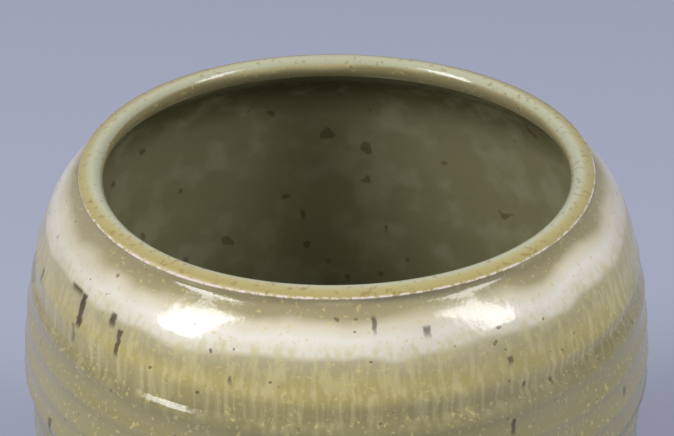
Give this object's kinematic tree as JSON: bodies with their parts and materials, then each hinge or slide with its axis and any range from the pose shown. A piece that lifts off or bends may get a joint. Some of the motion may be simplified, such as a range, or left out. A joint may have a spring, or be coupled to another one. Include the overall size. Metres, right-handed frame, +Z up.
{
  "type": "lidless stoneware water jar",
  "caption": "Wide-mouthed wheel-thrown stoneware water jar with a broad rolled lip, ridged shoulder, turned foot ring and runny ash glaze; open top, no lid.",
  "frame": {"origin": "centre of the foot ring's resting face, which is the bottom centre of the bounding box", "axes": "+Z is up along the jar's axis of turning; +X and +Y are any two sides of the round jar; the picture looks along +Y and down"},
  "size_m": [0.1844, 0.1844, 0.168],
  "materials": {
    "stoneware": "matte",
    "ash_glaze": "gloss",
    "lining": "gloss"
  },
  "bodies": {
    "root": {"stoneware_body": "stoneware", "outer_glaze": "ash_glaze", "lining_glaze": "lining"}
  },
  "joints": []
}
